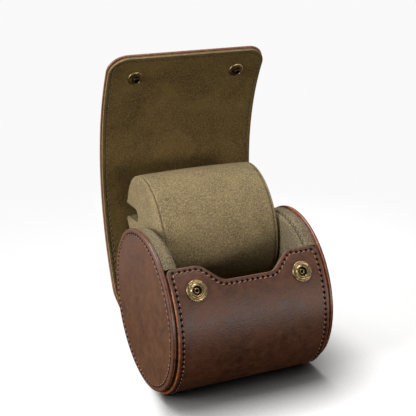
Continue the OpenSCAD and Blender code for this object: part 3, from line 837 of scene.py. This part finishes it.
class CASE_OT_bands(bpy.types.Operator):
    """Makes the padded suede bands and the linings of the drum's two ends"""
    bl_idname = "watch_case.bands"
    bl_label = "Bands and end linings"

    def execute(self, context):
        # across: flat from the disc, a seam, then a soft shoulder down to the inner face
        seam_x, flat_in, shoulder = 38.0, 37.6, 3.6
        flat_x = np.linspace(WELT_IN - 0.05, flat_in, 16)
        a = quarter(13)[1:]
        x = np.concatenate([flat_x, BAND_IN + shoulder - shoulder * np.sin(a), [BAND_IN, BAND_IN]])
        depth = np.concatenate([0 * flat_x, 3.4 * (1 - np.cos(a)), [4.6, 6.0]])
        puff = 0.5 * np.sin(np.pi * np.clip((x - flat_in) / (WELT_IN - flat_in), 0, 1)) ** 0.8
        out = -1.0 + puff - depth - 0.55 * bump_at(x, seam_x, 0.5)
        phi = np.linspace(-14, FRONT_EDGE_AT - 0.4, 260)[:, None]
        top, bottom = oval(phi, out), oval(phi, np.minimum(out - 1.2, -3.4))
        lining = [(0.9, 0.0, 4.2), (0.9, 1.0, 4.2), (0.4, 1.0, 3.9), (0.15, 1.0, 4.3)]
        lining = np.array(lining + [(0.35 * (k ** 2 - 1), k, 4.9) for k in np.linspace(1, 0, 20)]) + [BAND_IN, 0, 0]
        seam_phi = np.linspace(-6, FRONT_EDGE_AT - 4, 900)
        seam_y, seam_z, _, _ = oval(seam_phi, -1.25)
        for side, word in SIDES:
            faces = [np.stack([side * x + 0 * line[0], line[0], line[1]], -1) for line in (top, bottom)]
            loop = capped(np.concatenate([faces[0], faces[1][:, ::-1]], axis=1))
            quads = grid_quads(*loop.shape[:2], close_columns=True)
            dress(write_mesh(f"{word}_band_suede", loop.reshape(-1, 3), quads, 0, (MATERIAL["band"],)),
                  "pale_suede", f"{word}_band", f"{word}_band_pad", body="drum", soft=0.8)
            path = np.stack([0 * seam_y + side * seam_x, seam_y, seam_z], 1)
            point, along, at, pitch = resample(path)
            _, _, ny, nz = oval(np.interp(at, np.linspace(0, at[-1], len(seam_phi)), seam_phi))
            up = np.stack([0 * ny, ny, nz], 1)
            dress(stitches(f"{word}_band_stitches", point, along, up, pitch, -side, 0.05), "pale_suede", body="drum")
            piece = oval_shell(f"{word}_end_lining", side, lining, (MATERIAL["band"],), 240)
            dress(piece, "pale_suede", f"{word}_lining", body="drum")
            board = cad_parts[f"{word}_end_board"].data.materials
            board.clear()
            board.append(MATERIAL["board"])
        return {"FINISHED"}


def pillow_outline():
    """The pillow's section: a leaned oval with a slot let into its back, its corners softened.

    Returns the closed line as points, starting at the slot's upper lip and
    going round the front to the lower lip, then in and out along the slot, and
    how many of them lie on the oval.
    """
    a = around(1440)
    ring = np.stack(turn(PILLOW_SHORT * np.cos(a), PILLOW_LONG * np.sin(a), PILLOW_LEAN), 1) + PILLOW_MID
    open_side = (np.abs(ring[:, 1] - SLOT_Z) < SLOT_HALF) & (ring[:, 0] > PILLOW_MID[0])
    ring = np.roll(ring, -np.where(open_side)[0].max() - 1, axis=0)[:len(ring) - open_side.sum()]
    t = np.linspace(0, 1, 60)[1:-1]
    bend = np.linspace(-np.pi / 2, -3 * np.pi / 2, 60)
    lower, upper = ring[-1, 0], ring[0, 0]
    closed = np.concatenate([
        ring,
        np.stack([lower + (SLOT_END_Y - lower) * t, 0 * t + SLOT_Z - SLOT_HALF], 1),
        SLOT_HALF * ahead(bend) + [SLOT_END_Y, SLOT_Z],
        np.stack([SLOT_END_Y + (upper - SLOT_END_Y) * t, 0 * t + SLOT_Z + SLOT_HALF], 1),
        ring[:1]])
    length = lengths(closed)
    line = along_path(np.linspace(0, length[-1], 1201)[:-1], length, closed)
    for _ in range(40):
        line = (np.roll(line, 1, 0) + 2 * line + np.roll(line, -1, 0)) / 4
    return line, int(round(length[len(ring)] / length[-1] * len(line)))


class CASE_OT_pillow(bpy.types.Operator):
    """Makes the slotted suede pillow with its end seams"""
    bl_idname = "watch_case.pillow"
    bl_label = "Pillow"

    def execute(self, context):
        swell = context.scene.watch_case_sizes.pillow_swell / MM
        columns, rows = 220, 30
        line, on_oval = pillow_outline()
        ring = line[:on_oval]
        outer = ring[np.linspace(0, len(ring) - 1, columns).round().astype(int)]
        slot = np.concatenate([ring[-1:], line[on_oval:], ring[:1]])[::-1]
        length = lengths(slot)
        inner = along_path(np.linspace(0, length[-1], columns), length, slot)
        # along X: a slight crown, a corded seam, and the rounded end
        mid = np.linspace(-1, 1, 41) * (PILLOW_SEAM - 1.4)
        cord = np.array([(-1.0, 0.28), (-0.6, 0.42), (-0.3, 0.85), (0.0, 1.25), (0.25, 0.85), (0.45, 0.5), (0.7, 0.42)])
        a = quarter(8)[1:]
        x = np.concatenate([mid, PILLOW_SEAM + cord[:, 0], PILLOW_SEAM + 0.7 + 1.5 * np.sin(a)])
        inset = np.concatenate([
            swell * ((mid / PILLOW_SEAM) ** 2 - 1) + 0.25, cord[:, 1], 0.42 + 3.4 * (1 - np.cos(a))])
        tail = x > PILLOW_SEAM - 1.2
        x = np.concatenate([-x[tail][::-1], x])[:, None]
        inset = np.concatenate([inset[tail][::-1], inset])[:, None]

        def skin(curve, inset):
            """A curve drawn along X and moved in by the inset of each ring."""
            d = np.gradient(curve, axis=0)
            d /= np.linalg.norm(d, axis=1)[:, None]
            return np.stack([x + 0 * d[:, 0], curve[:, 0] - d[:, 1] * inset, curve[:, 1] + d[:, 0] * inset], -1)

        side_out, side_in = skin(outer, inset), skin(inner, -0.55 * inset)
        side_in[:, 0], side_in[:, -1] = side_out[:, 0], side_out[:, -1]
        quads = grid_quads(*side_out.shape[:2])
        parts = [(side_out, quads, 0), (side_in, quads[:, ::-1], 0)]
        v = np.linspace(0, 1, rows)[:, None]
        bulge = 0.35 * np.sin(np.pi * v) ** 0.7 * np.sin(np.pi * np.linspace(0, 1, columns)) ** 0.5
        for row, sign in ((0, -1), (-1, 1)):
            face = side_out[row] * (1 - v[..., None]) + side_in[row] * v[..., None]
            face[..., 0] += sign * bulge
            parts.append((face, grid_quads(rows, columns), 0))
        dress(write_mesh("pillow_suede", *join_grids(parts), (MATERIAL["pale"],)), "pale_suede",
              "pillow_core", "pillow_cover", "left_pillow_cap", "right_pillow_cap", body="pillow", soft=0.85)
        return {"FINISHED"}


def upright(axis):
    """Axes of a frame whose third axis is the one given and whose first is X."""
    return np.stack([[1, 0, 0], np.cross(axis, [1, 0, 0]), axis])


class CASE_OT_snaps(bpy.types.Operator):
    """Makes the snap sockets, their rivets, the studs and the caps"""
    bl_idname = "watch_case.snaps"
    bl_label = "Snaps"

    def execute(self, context):
        brass = (MATERIAL["brass"], MATERIAL["hole"], MATERIAL["patina_and_shade"])
        sockets = [(np.array([x, *SOCKET_AT]), upright(np.array([0, -np.sin(SOCKET_TILT), np.cos(SOCKET_TILT)])))
                   for x in (-SNAP_X, SNAP_X)]
        ring = rounded([
            (2.45, -0.75), (2.45, 0.0), (2.45, 0.9), (2.5, 1.2), (2.85, 1.32), (3.2, 1.15), (3.6, 0.72), (4.2, 0.62),
            (4.7, 0.82), (5.1, 1.05), (5.5, 0.98), (5.72, 0.6), (5.7, 0.1), (5.6, -0.3), (2.45, -0.3), (2.45, -0.75)])
        # the bore's wall is dark brown, partly patina and partly painted shade
        index = np.where((ring[:-1, 0] + ring[1:, 0]) / 2 < BORE_R, 2, 0)
        dress(revolve("snap_socket_rings", ring, sockets, brass, index), "aged_brass", "socket_rings", body="drum")
        rivet = [(0, 0.13), (0.78, 0.13), (0.8, 0.3), (0.86, 0.52), (1.0, 0.63), (1.2, 0.65), (1.4, 0.56),
                 (1.52, 0.36), (1.6, 0.2), (1.8, 0.14), (2.52, 0.12), (2.52, -0.5), (0, -0.5)]
        # rivet: near-black painted shade in its hollow middle, then brass, then a dark brown floor to the bore, partly
        # patina and partly painted shade
        index = np.repeat([1, 0, 2], [3, 5, 4])
        dress(revolve("snap_socket_rivets", rivet, sockets, brass, index, 64), "aged_brass", "socket_rivets",
              body="drum")
        # the wire clip bulges a little into the bore on two sides; it is dark brown, partly patina and partly painted
        # shade of the bore
        t = np.linspace(-1, 1, 40)
        bow = 2.42 - 0.22 * np.cos(t * np.pi / 2)
        b = around(10)[None, :, None]
        r = 0.16 * np.sqrt(1 - t ** 12)[:, None, None]
        parts = []
        for origin, axes in sockets:
            for middle in (0.0, np.pi):
                at = middle + 1.05 * t
                centre = np.stack([bow * np.cos(at), bow * np.sin(at), 0 * t + 0.55], 1)
                along = np.gradient(centre, axis=0)
                along /= np.linalg.norm(along, axis=1)[:, None]
                side = np.cross(along, [0, 0, 1])[:, None]
                tube = centre[:, None] + r * (np.cos(b) * side + np.sin(b) * np.array([0, 0, 1.0]))
                parts.append((origin + tube.reshape(-1, 3) @ axes, grid_quads(40, 10, close_columns=True), 0))
        dress(write_mesh("snap_socket_wires", *join_grids(parts), (MATERIAL["patina_and_shade"],)), "spring_wire",
              "socket_springs", body="drum")
        # studs and caps, on the lid's last length
        inward = np.array([0, -np.sin(STRIP.lean_last), np.cos(STRIP.lean_last)])
        lid_s = np.interp(1 - SNAP_INSET / CHORD, [0, 1], [STRIP.fold_s[-1], STRIP.tip_s])
        studs = [(STRIP.at(x, lid_s, SHEET_T), upright(inward)) for x in (-SNAP_X, SNAP_X)]
        caps = [(STRIP.at(x, lid_s, 0.0), upright(-inward)) for x in (-SNAP_X, SNAP_X)]
        stud = [(0, 0.9), (1.30, 0.9), (1.42, 1.2), (1.46, 2.0), (1.50, 2.5), (1.6, 2.62), (1.78, 2.6), (1.95, 2.42),
                (2.04, 2.1), (2.0, 1.75), (1.85, 1.4), (1.84, 1.0), (1.95, 0.78), (2.4, 0.68), (3.3, 0.62), (3.9, 0.5),
                (4.22, 0.3), (4.32, 0.05), (4.3, -0.15), (0, -0.15)]
        # stud: near-black painted shade inside its hollow post, a brass lip, the post's outside dark brown, partly
        # patina and partly painted shade, and a brass flange
        index = np.repeat([1, 0, 2, 0], [4, 2, 7, 6])
        last = f"lid_{LID_PARTS}"
        dress(revolve("snap_stud_pieces", stud, studs, brass, index, 80), "aged_brass", "snap_studs", body=last)
        dome = [(v, 1.5 - 1.05 * (v / CAP_R) ** 2) for v in np.linspace(0, CAP_R, 16)]
        cap = dome + [(5.45, 0.36), (5.52, 0.2), (5.5, 0.0), (5.45, -0.28), (0, -0.28)]
        dress(revolve("snap_cap_pieces", cap, caps, brass), "aged_brass", "snap_caps", body=last)
        return {"FINISHED"}


# ---- stage --------------------------------------------------------------

CAMERA_TURN = 0.44074
CAMERA_TILT = 0.31785
CAMERA_FAR = 544.894
CAMERA_SHIFT = (7.794, -31.358)
CAMERA_AIM = np.array([0.0, 0.0, 60.0])
FOCAL_PX = 1000.0
IMAGE_PX = 416.0
SENSOR = 36.0
FLOOR_HALF = 6000.0
FLOOR_Z = -0.3
# metres: where the paper fades, from the case's middle, and where painted white light covers it for the camera, left of
# the line x = y / 4
FADE = (0.13, 0.36)
PAINTED_WHITE_EDGE = (-0.038, -0.047)
LIGHT_AIM = Vector((0.0, 0.0, 0.07))
# name, place and size in metres, watts, colour
LIGHTS = (
    ("top", (0.0, 0.10, 0.80), (0.50, 0.50), 6.4, (1.0, 1.0, 1.0)),
    ("side", (-0.68, -0.10, 0.28), (0.40, 0.40), 5.6, (1.0, 0.99, 0.98)),
    ("back", (-0.30, 0.45, 0.60), (0.40, 0.40), 1.0, (1.0, 1.0, 1.0)),
    ("front", (0.28, -0.70, 0.10), (0.70, 0.18), 2.3, (1.0, 0.93, 0.86)),
)


def area_light(name, place, size, power, colour):
    data = bpy.data.lights.new(name, "AREA")
    data.shape = "RECTANGLE"
    data.size, data.size_y = size
    data.energy = power
    data.color = colour
    lamp = bpy.data.objects.new(name, data)
    lamp.location = place
    lamp.rotation_mode = "QUATERNION"
    lamp.rotation_quaternion = (LIGHT_AIM - Vector(place)).to_track_quat("-Z", "Y")
    bpy.context.scene.collection.objects.link(lamp)


def paper_sweep(tree):
    """White paper, shaded near the case by the lamps and by painted shade from ambient occlusion, and fading to the
    bright backdrop away from it.

    It sends little light back up. Towards the left and behind, painted light covers its shade: the camera sees it glow
    white there.
    """
    path = add_node(tree, "ShaderNodeLightPath").outputs
    place = add_node(tree, "ShaderNodeTexCoord").outputs["Object"]
    # painted shade: ambient occlusion darkens the paper that the camera sees near the case, as a contact shadow
    hidden = add_node(tree, "ShaderNodeAmbientOcclusion", {"samples": 8, "Distance": 0.045}).outputs["AO"]
    dim = add_node(tree, "ShaderNodeMath", {"operation": "POWER", 1: 1.6}, {0: hidden})
    seen = add_node(tree, "ShaderNodeMath", {"operation": "MULTIPLY", 1: 0.93}, {0: dim})
    tone = add_node(tree, "ShaderNodeMix", {"data_type": "FLOAT", 2: 0.03}, {0: path["Is Camera Ray"], 3: seen})
    paper = add_node(tree, "ShaderNodeBsdfDiffuse", links={"Color": tone})
    away = add_node(tree, "ShaderNodeVectorMath", {"operation": "LENGTH"}, {0: place}).outputs["Value"]
    fade = add_node(tree, "ShaderNodeMapRange", {
        "interpolation_type": "SMOOTHSTEP", "From Min": FADE[0], "From Max": FADE[1]}, {"Value": away})
    level = add_node(tree, "ShaderNodeMapRange", {"To Min": 1.03, "To Max": 0.95}, {"Value": fade})
    bright = add_node(tree, "ShaderNodeMath", {"operation": "MAXIMUM"}, {
        0: path["Is Camera Ray"], 1: path["Is Glossy Ray"]})
    power = add_node(tree, "ShaderNodeMath", {"operation": "MULTIPLY"}, {0: bright, 1: level})
    glow = add_node(tree, "ShaderNodeEmission", {"Color": (1, 1, 1, 1)}, {"Strength": power})
    # painted light: left of the line x = y / 4, the camera sees the paper glow white over its shade
    split = add_node(tree, "ShaderNodeSeparateXYZ", links={0: place}).outputs
    past = add_node(tree, "ShaderNodeMath", {"operation": "MULTIPLY_ADD", 1: -0.25}, {0: split["Y"], 2: split["X"]})
    left = add_node(tree, "ShaderNodeMapRange", {
        "interpolation_type": "SMOOTHSTEP", "From Min": PAINTED_WHITE_EDGE[0], "From Max": PAINTED_WHITE_EDGE[1]}, {"Value": past})
    painted_white = add_node(tree, "ShaderNodeMath", {"operation": "MULTIPLY"}, {0: left, 1: path["Is Camera Ray"]})
    white = add_node(tree, "ShaderNodeMath", {"operation": "MAXIMUM"}, {0: fade, 1: painted_white})
    return add_node(tree, "ShaderNodeMixShader", links={0: white, 1: paper, 2: glow})


def make_world(scene):
    """An even white studio: bright to the camera, half as bright in reflections, dim as a light."""
    scene.world = bpy.data.worlds.new("studio")
    scene.world.use_nodes = True
    tree = scene.world.node_tree
    tree.nodes.clear()
    path = add_node(tree, "ShaderNodeLightPath").outputs
    mirrored = add_node(tree, "ShaderNodeMath", {"operation": "MULTIPLY", 1: 0.55}, {0: path["Is Glossy Ray"]})
    seen = add_node(tree, "ShaderNodeMath", {"operation": "MAXIMUM"}, {0: path["Is Camera Ray"], 1: mirrored})
    strength = add_node(tree, "ShaderNodeMapRange", {"To Min": 0.10, "To Max": 0.95}, {"Value": seen})
    back = add_node(tree, "ShaderNodeBackground", {"Color": (1, 1, 1, 1)}, {"Strength": strength})
    add_node(tree, "ShaderNodeOutputWorld", links={"Surface": back})


def make_camera(scene):
    """The photograph's camera, from its turn, tilt, distance and shift."""
    a, e = CAMERA_TURN, CAMERA_TILT
    right = np.array([np.cos(a), -np.sin(a), 0])
    look = np.array([np.sin(a) * np.cos(e), np.cos(a) * np.cos(e), -np.sin(e)])
    up = np.cross(right, look)
    place = CAMERA_AIM - CAMERA_FAR * look - CAMERA_SHIFT[0] * right - CAMERA_SHIFT[1] * up
    data = bpy.data.cameras.new("camera")
    data.sensor_width = SENSOR
    data.lens = FOCAL_PX * SENSOR / IMAGE_PX
    data.clip_start, data.clip_end = 0.01, 50.0
    camera = bpy.data.objects.new("camera", data)
    camera.matrix_world = Matrix([*np.stack([right, up, -look, place * MM], 1).tolist(), [0, 0, 0, 1]])
    scene.collection.objects.link(camera)
    scene.camera = camera


class CASE_OT_stage(bpy.types.Operator):
    """Makes the floor, the light and the camera"""
    bl_idname = "watch_case.stage"
    bl_label = "Stage"

    def execute(self, context):
        corners = np.array([[-1, -1, 0], [1, -1, 0], [1, 1, 0], [-1, 1, 0]]) * FLOOR_HALF + [0, 0, FLOOR_Z]
        paper = new_material("white_paper_sweep", paper_sweep)
        write_mesh("floor", corners, np.array([[0, 1, 2, 3]]), 0, (paper,), closed=False)
        make_world(context.scene)
        for light in LIGHTS:
            area_light(*light)
        make_camera(context.scene)
        context.scene.view_settings.view_transform = "Standard"
        return {"FINISHED"}


class CASE_PT_panel(bpy.types.Panel):
    bl_idname = "CASE_PT_panel"
    bl_label = "Watch case"
    bl_space_type = "VIEW_3D"
    bl_region_type = "UI"
    bl_category = "Watch Case"

    def draw(self, context):
        for group in (context.scene.watch_case_sizes, context.scene.watch_case_colours):
            box = self.layout.box()
            for name in group.__annotations__:
                box.prop(group, name)
        for maker in MAKERS:
            self.layout.operator(maker.bl_idname)


MAKERS = (CASE_OT_stage, CASE_OT_end_discs, CASE_OT_strip, CASE_OT_lid, CASE_OT_bands, CASE_OT_pillow, CASE_OT_snaps)
CLASSES = (CaseSizes, CaseColours, *MAKERS, CASE_PT_panel)


def register():
    for c in CLASSES:
        bpy.utils.register_class(c)
    bpy.types.Scene.watch_case_sizes = PointerProperty(type=CaseSizes)
    bpy.types.Scene.watch_case_colours = PointerProperty(type=CaseColours)


def unregister():
    del bpy.types.Scene.watch_case_sizes
    del bpy.types.Scene.watch_case_colours
    for c in reversed(CLASSES):
        bpy.utils.unregister_class(c)


def main():
    register()
    make_materials(bpy.context.scene.watch_case_colours)
    bpy.ops.watch_case.stage()
    bpy.ops.watch_case.end_discs()
    bpy.ops.watch_case.strip()
    bpy.ops.watch_case.lid()
    bpy.ops.watch_case.bands()
    bpy.ops.watch_case.pillow()
    bpy.ops.watch_case.snaps()


if __name__ == "__main__":
    main()
